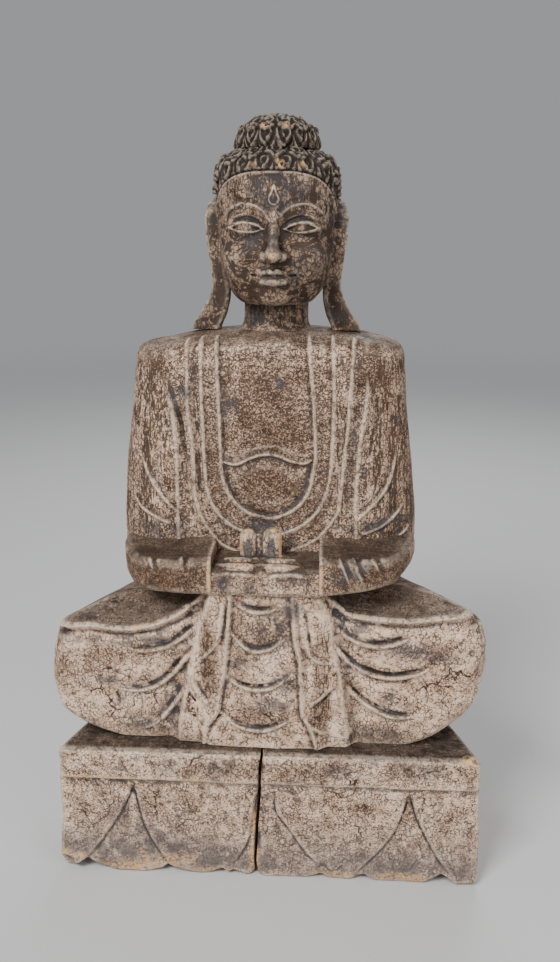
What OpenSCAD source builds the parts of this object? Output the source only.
/* [Base] */
// Width of the base along its front
base_w = 358; // [330:1:366]
// Depth of the base from front to back
base_d = 200; // [190:1:220]
// Height of the two petal blocks
petal_block_h = 94; // [80:1:110]
// Thickness of the two top boards
board_t = 29; // [22:1:36]
// Open joint between the left and right halves of the base
split_gap = 2; // [1:0.5:4]
// How far the base stands to the right of the figure's middle
base_shift = 3; // [0:0.5:6]
/* [Figure] */
// Width across the knees
knee_w = 368; // [362:1:384]
// Height of the crossed legs, from the base to the waist
lap_h = 127; // [120:1:134]
// Height of the torso, from the waist to the shoulder line
torso_h = 208; // [195:1:220]
// Width across the elbows
elbow_w = 252; // [240:1:262]
// Width of the hair at its widest
hair_w = 102; // [98:1:108]
// Length of the neck that shows between shoulders and chin
neck_h = 22; // [18:1:28]
/* [Joints] */
// Radius of the large glue dowels
dowel_r = 5; // [4:0.5:6]
// Radius of the small glue pegs
peg_r = 3; // [2.5:0.5:3.5]
// Gap left for glue all round a dowel
glue_gap = 0.2; // [0.1:0.1:0.5]

/* [Hidden] */
$fn = 48;

limewash = [0.62, 0.54, 0.46];
dark_limewash = [0.52, 0.45, 0.38];
bare_wood = [0.85, 0.62, 0.38];

// heights of the glue planes
seat_z = petal_block_h + board_t;
waist_z = seat_z + lap_h;
shoulder_z = waist_z + torso_h;
chin_z = shoulder_z + neck_h;
far = 400;

// plan of the base: sides draw in towards rounded back corners
side_draft = 0.32;
back_corner_r = 50;
corner_steps = 8;
board_inset = 3;
block_inset = 3;
split_x = -5;

// lotus petals and nicks on the base
petal_relief = 3;
petal_sunk = 1;
petal_w = 68;
petal_tip_z = petal_block_h - 9;
petal_foot_z = 4;
petal_curve = 1.4;
outer_petal_x = 117;
middle_petal_x = 6;
notch_d = 30;

// slanted glue planes between the lap's middle and the knees
lap_low_x = 70;
lap_high_x = 43;
apron_front = -91;

// slanted glue planes between the torso and the arms, and the flat chest
arm_low_x = 72;
arm_high_x = 88;
arm_front = -50;
// half the gap between the two sleeve cuffs
cuff_x = 42;

// palms and thumbs
palm_rest_h = 12;
palm_low_z = waist_z + palm_rest_h;
palm_t = 26;
palm_front = -98;
hand_seam_x = -5;
thumb_left_x = -14.5;
thumb_right_x = 4;
thumb_r = 7;
thumb_top = waist_z + 59;
thumb_y = -70;

// neck and head, a little to the right of the middle
head_shift = 3;
neck_y = 2;
neck_r = 27;

// hairline plane and crown knob
hairline_front_z = chin_z + 98;
hairline_drop = 0.62;
crown_y = 2;
crown_z = chin_z + 117;
knob_h = 23;

// nose, ears and forehead drop
nose_y = -50;
ear_t = 24;
ear_y = 4;
urna_r = 4;
urna_z = chin_z + 76;

// points in each ring of a lofted block
ring_points = 28;

// outline of the base plan: straight front, sides that draw in, rounded back corners
function back_corner_x(half_w, depth) =
    half_w - side_draft * (depth - back_corner_r) - back_corner_r * norm([1, side_draft]);
function back_corner(half_w, depth, angle) = [
    back_corner_x(half_w, depth) + back_corner_r * cos(angle),
    depth / 2 - back_corner_r + back_corner_r * sin(angle)
];
function base_side(half_w, depth) = [
    [half_w, -depth / 2],
    for (k = [0 : corner_steps])
        back_corner(half_w, depth, atan(side_draft) + (90 - atan(side_draft)) * k / corner_steps)
];
function base_plan(half_w, depth) =
    let (side = base_side(half_w, depth), n = len(side))
    concat(side, [for (k = [n - 1 : -1 : 0]) [-side[k][0], side[k][1]]]);

// a signed power, for rounded-rectangle rings
function bulge(v, squareness) = sign(v) * pow(abs(v), 2 / squareness);
// level ring of a block: half width, front and back y
function ring(z, half_w, front, back, squareness) = [
    for (i = [0 : ring_points - 1])
        let (a = 360 * i / ring_points)
        [half_w * bulge(cos(a), squareness),
         (front + back) / 2 + (back - front) / 2 * bulge(sin(a), squareness),
         z]
];
// upright ring of a limb that runs along x
function limb_ring(x, y, z, half_d, half_h, squareness) = [
    for (i = [0 : ring_points - 1])
        let (a = 360 * i / ring_points)
        [x, y + half_d * bulge(cos(a), squareness), z + half_h * bulge(sin(a), squareness)]
];

// solid through a list of rings that all have ring_points points
module loft(rings) {
    last = (len(rings) - 1) * ring_points;
    polyhedron(
        points = [for (r = rings) each r],
        faces = [
            [for (i = [0 : ring_points - 1]) i],
            for (k = [0 : len(rings) - 2], i = [0 : ring_points - 1])
                let (a = k * ring_points + i, b = k * ring_points + (i + 1) % ring_points)
                each [[a, a + ring_points, b], [b, a + ring_points, b + ring_points]],
            [for (i = [ring_points - 1 : -1 : 0]) last + i]
        ]
    );
}

// slab of space between two slanted planes that face left and right: x limits low and high up
module wedge(z_low, x_low, z_high, x_high) {
    rotate([90, 0, 0])
        linear_extrude(2 * far, center = true)
            polygon([[-x_low, z_low], [x_low, z_low], [x_high, z_high], [-x_high, z_high]]);
}

// everything to the right of a slanted plane
module right_of(z_low, x_low, z_high, x_high) {
    rotate([90, 0, 0])
        linear_extrude(2 * far, center = true)
            polygon([[x_low, z_low], [far, z_low], [far, z_high], [x_high, z_high]]);
}

// rods for a list of places [x, y, z], turned by a rotation
module rods(places, turn, radius, length, gap) {
    for (p = places)
        translate(p)
            rotate(turn)
                cylinder(r = radius + gap, h = length + 2 * gap, center = true);
}

along_x = [0, 90, 0];
along_y = [90, 0, 0];
along_z = [0, 0, 0];

// dowel places and lengths
dowel_len = 44;
peg_len = 24;
base_dowel_at = [for (y = [-45, 45]) [split_x, y, petal_block_h / 2]];
board_dowel_at = [for (x = [-100, 100], y = [-50, 40]) [base_shift + x, y, petal_block_h]];
seat_dowel_at = [for (x = [-90, -22, 26, 90]) [x, 10, seat_z]];
knee_dowel_at = [for (x = [-1, 1], z = [30, 80]) [x * (68 - 0.19 * z), 0, seat_z + z]];
waist_dowel_at = [for (x = [-24, 24]) [x, 8, waist_z]];
shoulder_dowel_at = [for (x = [-1, 1], z = [80, 160]) [x * (74 + 0.06 * z), 5, waist_z + z]];
elbow_dowel_at = [for (x = [-100, 100]) [x, arm_front, waist_z + 30]];
wrist_peg_at = [for (x = [-cuff_x, cuff_x]) [x, -76, waist_z + 24]];
neck_dowel_at = [[head_shift, neck_y, shoulder_z + neck_h / 2]];
crown_peg_at = [[head_shift, crown_y, crown_z]];
neck_dowel_r = 8;
neck_dowel_len = neck_h + 56;
board_dowel_len = 30;
crown_peg_len = 20;

module base_dowel_rods(gap = 0) { rods(base_dowel_at, along_x, dowel_r, dowel_len, gap); }
module board_dowel_rods(gap = 0) { rods(board_dowel_at, along_z, dowel_r, board_dowel_len, gap); }
module seat_dowel_rods(gap = 0) { rods(seat_dowel_at, along_z, dowel_r, board_dowel_len, gap); }
module knee_dowel_rods(gap = 0) { rods(knee_dowel_at, along_x, dowel_r, dowel_len, gap); }
module waist_dowel_rods(gap = 0) { rods(waist_dowel_at, along_z, dowel_r, dowel_len, gap); }
module shoulder_dowel_rods(gap = 0) { rods(shoulder_dowel_at, along_x, dowel_r, dowel_len, gap); }
module elbow_dowel_rods(gap = 0) { rods(elbow_dowel_at, along_y, peg_r, dowel_len, gap); }
module wrist_peg_rods(gap = 0) { rods(wrist_peg_at, along_x, peg_r, peg_len, gap); }
module neck_dowel_rods(gap = 0) { rods(neck_dowel_at, along_z, neck_dowel_r, neck_dowel_len, gap); }
module crown_peg_rods(gap = 0) { rods(crown_peg_at, along_z, peg_r, crown_peg_len, gap); }

// everything on one side of the open joint that halves the base
module base_side_space(side) {
    translate([split_x, 0, 0])
        mirror([side < 0 ? 1 : 0, 0, 0])
            translate([split_gap / 2, -far, -far])
                cube(2 * far);
}

// one half of a base layer
module half_layer(side, half_w, depth, z, thickness) {
    intersection() {
        translate([base_shift, 0, z])
            linear_extrude(thickness)
                polygon(base_plan(half_w, depth));
        base_side_space(side);
    }
}

// half the width of a lotus petal at a share of its height
function petal_edge(t) = petal_w / 2 * pow(1 - t, petal_curve);

// raised lotus petal on the front of the base, with sides that curve in to a point
module petal(x) {
    translate([base_shift + x, block_inset - base_d / 2 + petal_sunk, 0])
        rotate([90, 0, 0])
            linear_extrude(petal_relief)
                polygon([
                    for (t = [0 : 0.125 : 1])
                        [petal_edge(t), petal_foot_z + (petal_tip_z - petal_foot_z) * t],
                    for (t = [1 : -0.125 : 0])
                        [-petal_edge(t), petal_foot_z + (petal_tip_z - petal_foot_z) * t]
                ]);
}

// shallow nick in the lower front edge between two petals
module notch(x, width, height) {
    translate([base_shift + x, -base_d / 2 - 1, 0])
        rotate([-90, 0, 0])
            linear_extrude(notch_d)
                polygon([[-width / 2, 1], [width / 2, 1], [width / 4, -height], [-width / 4, -height]]);
}

module petal_block(side) {
    difference() {
        union() {
            half_layer(side, base_w / 2, base_d - 2 * block_inset, 0, petal_block_h);
            petal(side * outer_petal_x);
            intersection() {
                petal(middle_petal_x);
                base_side_space(side);
            }
        }
        for (x = [45, 72, 152])
            notch(side * x, 16, 8);
        base_dowel_rods(glue_gap);
        board_dowel_rods(glue_gap);
    }
}

module top_board(side) {
    difference() {
        half_layer(side, base_w / 2 - board_inset, base_d, petal_block_h, board_t);
        board_dowel_rods(glue_gap);
        seat_dowel_rods(glue_gap);
    }
}

module petal_block_left() { color(limewash) petal_block(-1); }
module petal_block_right() { color(limewash) petal_block(1); }
module top_board_left() { color(dark_limewash) top_board(-1); }
module top_board_right() { color(dark_limewash) top_board(1); }

// crossed legs, from the seat to the waist: [share of lap height, share of knee width, front, back]
module legs_mass() {
    loft([
        for (s = [[0, 0.72, -72, 66], [0.07, 0.85, -76, 72], [0.17, 0.95, -79, 76], [0.33, 1, -82, 80],
                  [0.52, 1, -84, 80], [0.68, 0.98, -85, 78], [0.78, 0.94, -84, 76], [0.86, 0.87, -81, 74],
                  [0.93, 0.77, -80, 70], [0.98, 0.69, -76, 66], [1, 0.65, -70, 64]])
            ring(seat_z + lap_h * s[0], knee_w / 2 * s[1], s[2], s[3], 3.4)
    ]);
}

module lap_centre() {
    color(limewash)
        difference() {
            union() {
                intersection() {
                    wedge(seat_z, lap_low_x, waist_z, lap_high_x);
                    union() {
                        legs_mass();
                        translate([-far / 2, apron_front, seat_z])
                            cube([far, arm_front - apron_front, lap_h]);
                    }
                }
                translate([-cuff_x, apron_front, waist_z - palm_rest_h])
                    cube([2 * cuff_x, arm_front - apron_front, 2 * palm_rest_h]);
            }
            seat_dowel_rods(glue_gap);
            knee_dowel_rods(glue_gap);
            waist_dowel_rods(glue_gap);
        }
}

module knee(side) {
    mirror([side < 0 ? 1 : 0, 0, 0])
        difference() {
            intersection() {
                right_of(seat_z, lap_low_x, waist_z, lap_high_x);
                legs_mass();
            }
            knee_dowel_rods(glue_gap);
            seat_dowel_rods(glue_gap);
        }
}
module knee_left() { color(limewash) knee(-1); }
module knee_right() { color(limewash) knee(1); }

// torso and upper arms in one rounded block: [share of torso height, share of elbow width, front, back]
module torso_mass() {
    loft([
        for (s = [[0, 0.95, -52, 60], [0.1, 1, -54, 62], [0.29, 0.985, -54, 62], [0.5, 0.945, -54, 60],
                  [0.72, 0.9, -50, 58], [0.88, 0.86, -48, 54], [0.93, 0.81, -46, 50], [0.965, 0.71, -43, 46],
                  [0.985, 0.55, -40, 42], [1, 0.32, -36, 36]])
            ring(waist_z + torso_h * s[0], elbow_w / 2 * s[1], s[2], s[3], 3.2)
    ]);
}

// everything behind the flat front of the chest
module behind_chest() { translate([-far, arm_front, -far]) cube([2 * far, 2 * far, 3 * far]); }

module torso() {
    color(limewash)
        difference() {
            intersection() {
                wedge(waist_z, arm_low_x, shoulder_z, arm_high_x);
                torso_mass();
                behind_chest();
            }
            waist_dowel_rods(glue_gap);
            shoulder_dowel_rods(glue_gap);
            neck_dowel_rods(glue_gap);
        }
}

module upper_arm(side) {
    mirror([side < 0 ? 1 : 0, 0, 0])
        difference() {
            intersection() {
                right_of(waist_z, arm_low_x, shoulder_z, arm_high_x);
                torso_mass();
                behind_chest();
            }
            shoulder_dowel_rods(glue_gap);
            elbow_dowel_rods(glue_gap);
        }
}
module upper_arm_left() { color(limewash) upper_arm(-1); }
module upper_arm_right() { color(limewash) upper_arm(1); }

// forearm sleeve: a level limb from the elbow to the open cuff, fitted to the body behind it
module forearm(side) {
    mirror([side < 0 ? 1 : 0, 0, 0])
        difference() {
            loft([
                limb_ring(cuff_x, -68, waist_z + 29, 29, 19, 3),
                limb_ring(60, -67, waist_z + 30, 31, 20, 3),
                limb_ring(84, -62, waist_z + 30, 33, 22, 3),
                limb_ring(104, -52, waist_z + 31, 35, 21, 3),
                limb_ring(117, -42, waist_z + 32, 34, 18, 2.6),
                limb_ring(123, -34, waist_z + 32, 22, 11, 2.2)
                ]);
            intersection() {
                torso_mass();
                behind_chest();
            }
            elbow_dowel_rods(glue_gap);
            wrist_peg_rods(glue_gap);
        }
}
module forearm_left() { color(limewash) forearm(-1); }
module forearm_right() { color(limewash) forearm(1); }

// two hands that meet in the lap, each with an upright thumb
module thumb(x) {
    translate([x, thumb_y, palm_low_z]) cylinder(r = thumb_r, h = thumb_top - thumb_r - palm_low_z);
    translate([x, thumb_y, thumb_top - thumb_r]) sphere(r = thumb_r);
}
module hand(low_x, high_x, thumb_x) {
    difference() {
        union() {
            translate([low_x, palm_front, palm_low_z])
                cube([high_x - low_x, arm_front - palm_front, palm_t]);
            thumb(thumb_x);
        }
        wrist_peg_rods(glue_gap);
    }
}
module hand_left() { color(limewash) hand(-cuff_x, hand_seam_x, thumb_left_x); }
module hand_right() { color(limewash) hand(hand_seam_x, cuff_x, thumb_right_x); }

// neck, flared a little where it meets the shoulders
module neck() {
    color(limewash)
        difference() {
            translate([head_shift, neck_y, shoulder_z]) cylinder(r = neck_r, h = neck_h);
            neck_dowel_rods(glue_gap);
        }
}

// everything over the hairline plane, which falls away to the back and parts the head from the hair
module over_hairline() {
    rotate([90, 0, 90])
        linear_extrude(2 * far, center = true)
            polygon([
                [-70, hairline_front_z + hairline_drop * 16],
                [70, hairline_front_z - hairline_drop * 124],
                [70, chin_z + 200],
                [-70, chin_z + 200]
            ]);
}

// skull: [height over the chin, half width, front, back]
module head_mass() {
    loft([
        for (s = [[0, 24, -34, 34], [4, 31, -42, 38], [14, 37, -46, 42], [30, 41, -48, 46],
                  [48, 43.5, -48, 49], [68, 44.5, -48, 50], [88, 44.5, -47, 50], [104, 40, -42, 46]])
            ring(chin_z + s[0], s[1], s[2], s[3], 2.3)
    ]);
}

// plain nose, a third of the way up the face
module nose() {
    hull() {
        translate([0, nose_y + 4, chin_z + 60]) sphere(r = 4, $fn = 24);
        translate([0, nose_y, chin_z + 36]) sphere(r = 6, $fn = 24);
        translate([0, nose_y + 8, chin_z + 34]) sphere(r = 10, $fn = 24);
    }
}

module head() {
    color(limewash)
        difference() {
            translate([head_shift, 0, 0]) {
                head_mass();
                nose();
            }
            over_hairline();
            neck_dowel_rods(glue_gap);
            urna_plug(glue_gap);
        }
}

module hair_cap() {
    color(dark_limewash)
        difference() {
            intersection() {
                translate([head_shift, 0, 0]) loft([
                    for (s = [[10, 0.86, -46, 48], [30, 0.93, -50, 52], [60, 0.98, -53, 55], [86, 1, -54, 56],
                              [100, 0.97, -52, 54], [110, 0.86, -46, 48], [117, 0.66, -35, 37]])
                        ring(chin_z + s[0], hair_w / 2 * s[1], s[2], s[3], 2.3)
                ]);
                over_hairline();
            }
            crown_peg_rods(glue_gap);
        }
}

// crown knob, a turned dome
module ushnisha() {
    color(dark_limewash)
        difference() {
            translate([head_shift, crown_y, crown_z])
                rotate_extrude()
                    polygon([[0, 0], [33, 0], [33, 4], [30, 11], [24, 16], [19, knob_h], [0, knob_h]]);
            crown_peg_rods(glue_gap);
        }
}

// long ear that hangs to the shoulder, as an outline seen from the front
module ear(side) {
    translate([head_shift, 0, 0])
        mirror([side < 0 ? 1 : 0, 0, 0])
            difference() {
                translate([0, ear_y + ear_t / 2, 0])
                    rotate([90, 0, 0])
                        linear_extrude(ear_t)
                            polygon([
                                [38, chin_z + 74], [50, chin_z + 77], [57, chin_z + 72], [58.5, chin_z + 58],
                                [57, chin_z + 36], [56, chin_z + 14], [60, chin_z - 4], [70, shoulder_z + 1],
                                [52, shoulder_z + 1], [44, chin_z + 2], [40, chin_z + 14]
                            ]);
                head_mass();
                over_hairline();
            }
}
module ear_left() { color(limewash) ear(-1); }
module ear_right() { color(limewash) ear(1); }

// drop on the forehead, set into a shallow bore
module urna_plug(gap = 0) {
    translate([head_shift, -38, urna_z])
        rotate([90, 0, 0])
            cylinder(r = urna_r + gap, h = 12);
}
module urna() { color(bare_wood) urna_plug(); }

module base_dowels() { color(bare_wood) base_dowel_rods(); }
module board_dowels() { color(bare_wood) board_dowel_rods(); }
module seat_dowels() { color(bare_wood) seat_dowel_rods(); }
module knee_dowels() { color(bare_wood) knee_dowel_rods(); }
module waist_dowels() { color(bare_wood) waist_dowel_rods(); }
module shoulder_dowels() { color(bare_wood) shoulder_dowel_rods(); }
module elbow_dowels() { color(bare_wood) elbow_dowel_rods(); }
module wrist_pegs() { color(bare_wood) wrist_peg_rods(); }
module neck_dowel() { color(bare_wood) neck_dowel_rods(); }
module crown_peg() { color(bare_wood) crown_peg_rods(); }

petal_block_left();
petal_block_right();
top_board_left();
top_board_right();
lap_centre();
knee_left();
knee_right();
torso();
upper_arm_left();
upper_arm_right();
forearm_left();
forearm_right();
hand_left();
hand_right();
neck();
head();
ear_left();
ear_right();
hair_cap();
ushnisha();
urna();
base_dowels();
board_dowels();
seat_dowels();
knee_dowels();
waist_dowels();
shoulder_dowels();
elbow_dowels();
wrist_pegs();
neck_dowel();
crown_peg();
